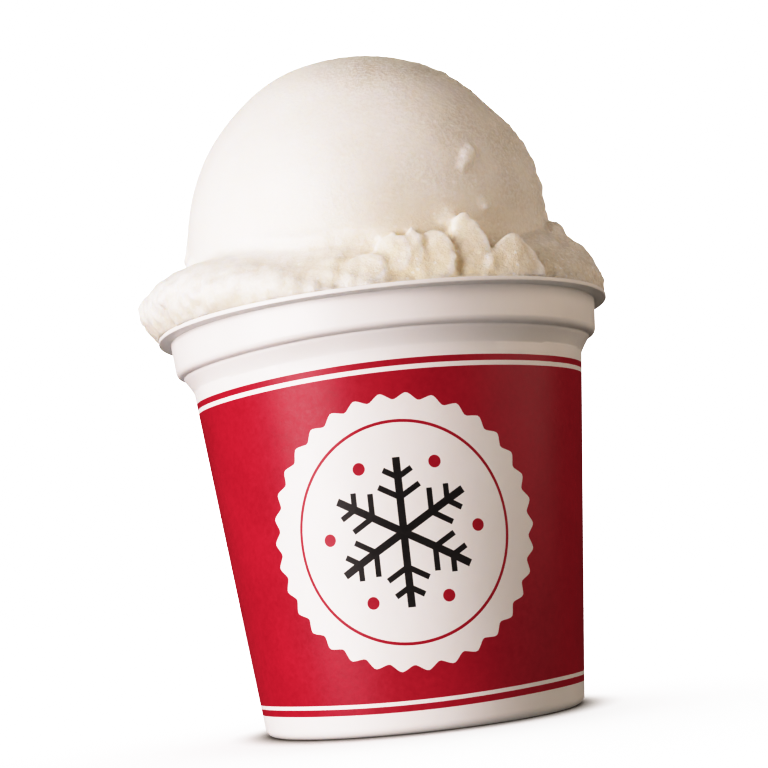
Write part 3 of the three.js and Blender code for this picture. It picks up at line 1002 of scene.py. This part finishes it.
def noise_node(nodes, place, size, detail=2, roughness=0.5):
    """A grey noise whose lumps are about the given size in millimetres."""
    node = nodes.new("ShaderNodeTexNoise")
    node.inputs["Scale"].default_value = 1 / size
    node.inputs["Detail"].default_value = detail
    node.inputs["Roughness"].default_value = roughness
    nodes.id_data.links.new(place, node.inputs["Vector"])
    return node.outputs["Fac"]


def crystal_node(nodes, place, size):
    """Distance to the middles of small crystals of a size, and a chance number for each one."""
    node = nodes.new("ShaderNodeTexVoronoi")
    node.inputs["Scale"].default_value = 1 / size
    nodes.id_data.links.new(place, node.inputs["Vector"])
    split = nodes.new("ShaderNodeSeparateColor")
    nodes.id_data.links.new(node.outputs["Color"], split.inputs["Color"])
    return node.outputs["Distance"], split.outputs["Red"]


def value_node(nodes, name):
    node = nodes.new("ShaderNodeAttribute")
    node.attribute_name = name
    return node.outputs["Fac"]


def range_node(nodes, value, span, target=(0, 1)):
    """Carries a value from between one pair of numbers to between another, without going past."""
    node = nodes.new("ShaderNodeMapRange")
    for slot, number in zip(("From Min", "From Max", "To Min", "To Max"), (*span, *target)):
        node.inputs[slot].default_value = number
    nodes.id_data.links.new(value, node.inputs["Value"])
    return node.outputs["Result"]


def math_node(nodes, operation, first, second):
    node = nodes.new("ShaderNodeMath")
    node.operation = operation
    nodes.id_data.links.new(first, node.inputs[0])
    nodes.id_data.links.new(second, node.inputs[1])
    return node.outputs["Value"]


def mix_node(nodes, share, first, second):
    """Mixes two colours, each a socket or a plain colour."""
    node = nodes.new("ShaderNodeMix")
    node.data_type = "RGBA"
    links = nodes.id_data.links
    links.new(share, node.inputs["Factor"])
    for slot, colour in ((MIX_FIRST, first), (MIX_SECOND, second)):
        if isinstance(colour, bpy.types.NodeSocket):
            links.new(colour, node.inputs[slot])
        else:
            node.inputs[slot].default_value = (*colour, 1)
    return node.outputs[MIX_RESULT]


def bump_node(nodes, height, millimetres, below=None):
    """Relief of the given height from a grey value, on top of another relief if one is given."""
    node = nodes.new("ShaderNodeBump")
    node.inputs["Distance"].default_value = millimetres * MM
    links = nodes.id_data.links
    links.new(height, node.inputs["Height"])
    if below is not None:
        links.new(below, node.inputs["Normal"])
    return node.outputs["Normal"]


def white_plastic():
    """Moulded plastic: a soft sheen, a faint orange-peel skin and slight unevenness in tone."""
    material, nodes, links = new_material("white_plastic")
    shader = nodes["Principled BSDF"]
    place = place_node(nodes)
    tone = range_node(nodes, noise_node(nodes, place, **PLASTIC_CLOUD), MIDDLE_GREYS)
    links.new(mix_node(nodes, tone, *PLASTIC_COLOURS), shader.inputs["Base Color"])
    wear = noise_node(nodes, place, **PLASTIC_WEAR)
    links.new(range_node(nodes, wear, MIDDLE_GREYS, PLASTIC_ROUGHNESS), shader.inputs["Roughness"])
    shader.inputs["Specular IOR Level"].default_value = PLASTIC_GLOSS
    shader.inputs["Subsurface Weight"].default_value = PLASTIC_GLOW
    shader.inputs["Subsurface Radius"].default_value = PLASTIC_GLOW_TINT
    shader.inputs["Subsurface Scale"].default_value = PLASTIC_GLOW_DEPTH * MM
    skin = bump_node(nodes, noise_node(nodes, place, **SKIN), SKIN_HEIGHT)
    links.new(skin, shader.inputs["Normal"])
    return material


def ink_material(name, colours, roughness):
    """Printed ink: a fine mottle in its colour and its gloss over the plastic's skin."""
    material, nodes, links = new_material(name)
    shader = nodes["Principled BSDF"]
    place = place_node(nodes)
    mottle = range_node(nodes, noise_node(nodes, place, **INK_MOTTLE), INK_MOTTLE_GREYS)
    cloud = range_node(nodes, noise_node(nodes, place, **INK_CLOUD), MIDDLE_GREYS)
    share = range_node(nodes, math_node(nodes, "ADD", mottle, cloud), (0, 2))
    links.new(mix_node(nodes, share, *colours), shader.inputs["Base Color"])
    links.new(range_node(nodes, mottle, (0, 1), roughness), shader.inputs["Roughness"])
    shader.inputs["Specular IOR Level"].default_value = INK_GLOSS
    skin = bump_node(nodes, noise_node(nodes, place, **SKIN), SKIN_HEIGHT)
    grain = bump_node(nodes, mottle, INK_MOTTLE_HEIGHT, skin)
    links.new(grain, shader.inputs["Normal"])
    return material


def red_ink():
    return ink_material("red_ink", RED_COLOURS, RED_ROUGHNESS)


def dark_ink():
    return ink_material("dark_ink", DARK_COLOURS, DARK_ROUGHNESS)


def ice_colour(nodes, place, sugar, broken):
    """Sugary clear patches where it broke, yellowish painted shade in its hollows, white painted
    light and frost on what stands out, and painted glints.
    """
    hollow = value_node(nodes, "hollow")
    proud_light_and_frost = value_node(nodes, "proud_light_and_frost")
    cloud = range_node(nodes, noise_node(nodes, place, **ICE_CLOUD), MIDDLE_GREYS)
    clear_grain_and_shade = math_node(nodes, "MULTIPLY", range_node(nodes, sugar, SUGAR_EDGE, (1, 0)), broken)
    colour = mix_node(nodes, cloud, *ICE_COLOURS)
    colour = mix_node(nodes, clear_grain_and_shade, colour, CLEAR_COLOUR)
    # painted shade, yellowish, in hollows, at the rim and low between the flakes
    colour = mix_node(nodes, hollow, colour, HOLLOW_SHADE_COLOUR)
    # painted light, white, on what stands out and along the flakes' right edges, over faint frost
    colour = mix_node(nodes, proud_light_and_frost, colour, FROST_AND_LIGHT_COLOUR)
    # painted glints: near-white dots on a few crystals where it broke
    crystal, lone = crystal_node(nodes, place, GLINT_SIZE)
    chosen = math_node(nodes, "MULTIPLY", range_node(nodes, lone, GLINT_CHOICE), broken)
    glint = math_node(nodes, "MULTIPLY", chosen, range_node(nodes, crystal, GLINT_EDGE, (1, 0)))
    return mix_node(nodes, glint, colour, GLINT_COLOUR)


def ice_material():
    """Fine hard ice, with light that passes under its skin and a grain that follows its breaks."""
    material, nodes, links = new_material("vanilla_ice")
    shader = nodes["Principled BSDF"]
    place = place_node(nodes)
    broken = value_node(nodes, "broken")
    sugar = noise_node(nodes, place, **SUGAR)
    links.new(ice_colour(nodes, place, sugar, broken), shader.inputs["Base Color"])
    links.new(range_node(nodes, sugar, SUGAR_GREYS, ICE_ROUGHNESS), shader.inputs["Roughness"])
    links.new(range_node(nodes, broken, (0, 1), ICE_GLOW), shader.inputs["Subsurface Weight"])
    shader.inputs["Subsurface Radius"].default_value = ICE_GLOW_TINT
    shader.inputs["Subsurface Scale"].default_value = ICE_GLOW_DEPTH * MM
    coarse = math_node(nodes, "MULTIPLY", sugar, range_node(nodes, broken, (0, 1), SUGAR_SHARES))
    fine = bump_node(nodes, noise_node(nodes, place, **FINE_GRAIN), FINE_GRAIN_HEIGHT)
    links.new(bump_node(nodes, coarse, SUGAR_HEIGHT, fine), shader.inputs["Normal"])
    return material


# Light and floor

def add_floor():
    """A white floor, lit from above only, with the cup's shadow on it and a painted contact shadow,
    darkest where they touch.
    """
    material, nodes, links = new_material("floor")
    shader = nodes["Principled BSDF"]
    # Painted contact shadow: the floor's colour darkens where the cup is near
    near = nodes.new("ShaderNodeAmbientOcclusion")
    near.inputs["Distance"].default_value = CONTACT_SHADOW_REACH * MM
    share = range_node(nodes, near.outputs["AO"], CONTACT_SHADOW_SPAN)
    links.new(mix_node(nodes, share, CONTACT_SHADOW_COLOUR, FLOOR_COLOUR), shader.inputs["Base Color"])
    shader.inputs["Roughness"].default_value = FLOOR_ROUGHNESS
    shader.inputs["Specular IOR Level"].default_value = 0
    mesh = bpy.data.meshes.new("floor")
    square = ((-1, -1), (1, -1), (1, 1), (-1, 1))
    mesh.from_pydata([(x * FLOOR_REACH, y * FLOOR_REACH, 0) for x, y in square], [], [(0, 1, 2, 3)])
    mesh.materials.append(material)
    floor = bpy.data.objects.new("floor", mesh)
    bpy.context.collection.objects.link(floor)
    floor.visible_diffuse = False
    floor.visible_glossy = False
    floor.visible_shadow = False
    return floor


def add_softbox(name, place, size, power, colour):
    """An area light aimed at the middle of the cup, its azimuth measured left of the camera."""
    azimuth, elevation, distance = place
    turn, rise = math.radians(azimuth), math.radians(elevation)
    level = distance * math.cos(rise)
    apart = Vector((-level * math.sin(turn), -level * math.cos(turn), distance * math.sin(rise)))
    aim = Vector((0, 0, LIGHT_AIM_Z))
    data = bpy.data.lights.new(name, "AREA")
    data.shape = "SQUARE"
    data.size = size
    data.energy = power
    data.color = colour
    light = bpy.data.objects.new(name, data)
    light.location = apart + aim
    light.rotation_euler = (-apart).to_track_quat("-Z", "Y").to_euler()
    bpy.context.collection.objects.link(light)
    return light


def add_sky():
    """One wide light from above and behind, for the floor."""
    data = bpy.data.lights.new("top_light", "SUN")
    data.angle = math.radians(SKY_ANGLE)
    data.energy = SKY_POWER
    light = bpy.data.objects.new("top_light", data)
    light.rotation_euler = (math.radians(SKY_TILT), 0, 0)
    bpy.context.collection.objects.link(light)
    return light


def light_only(light, pieces, state):
    """Limits a light to the given pieces, or keeps it off them."""
    group = bpy.data.collections.new(light.name + "_pieces")
    for piece in pieces:
        group.objects.link(piece)
    light.light_linking.receiver_collection = group
    for linked in group.collection_objects:
        linked.light_linking.link_state = state


def add_world():
    """Dim warm light from all round, with a white backdrop for the camera."""
    world = bpy.data.worlds.new("studio")
    world.use_nodes = True
    nodes, links = world.node_tree.nodes, world.node_tree.links
    room = nodes["Background"]
    room.inputs["Color"].default_value = ROOM_COLOUR
    backdrop = nodes.new("ShaderNodeBackground")
    backdrop.inputs["Color"].default_value = (1, 1, 1, 1)
    backdrop.inputs["Strength"].default_value = BACKDROP
    choose = nodes.new("ShaderNodeMixShader")
    path = nodes.new("ShaderNodeLightPath")
    links.new(path.outputs["Is Camera Ray"], choose.inputs["Fac"])
    links.new(room.outputs["Background"], choose.inputs[1])
    links.new(backdrop.outputs["Background"], choose.inputs[2])
    links.new(choose.outputs["Shader"], nodes["World Output"].inputs["Surface"])
    bpy.context.scene.world = world


def set_tone():
    view = bpy.context.scene.view_settings
    view.view_transform = "Standard"
    view.use_curve_mapping = True
    mapping = view.curve_mapping
    mapping.extend = "HORIZONTAL"
    mapping.white_level = (TONE_WHITE, TONE_WHITE, TONE_WHITE)
    for light, shown in TONE:
        mapping.curves[COMBINED_CURVE].points.new(light / TONE_WHITE, shown)
    mapping.update()


def light_scene():
    floor = add_floor()
    for box in SOFTBOXES:
        light_only(add_softbox(**box), [floor], "EXCLUDE")
    light_only(add_sky(), [floor], "INCLUDE")
    add_world()
    set_tone()


add_camera()
make_cup()
make_ice()
light_scene()
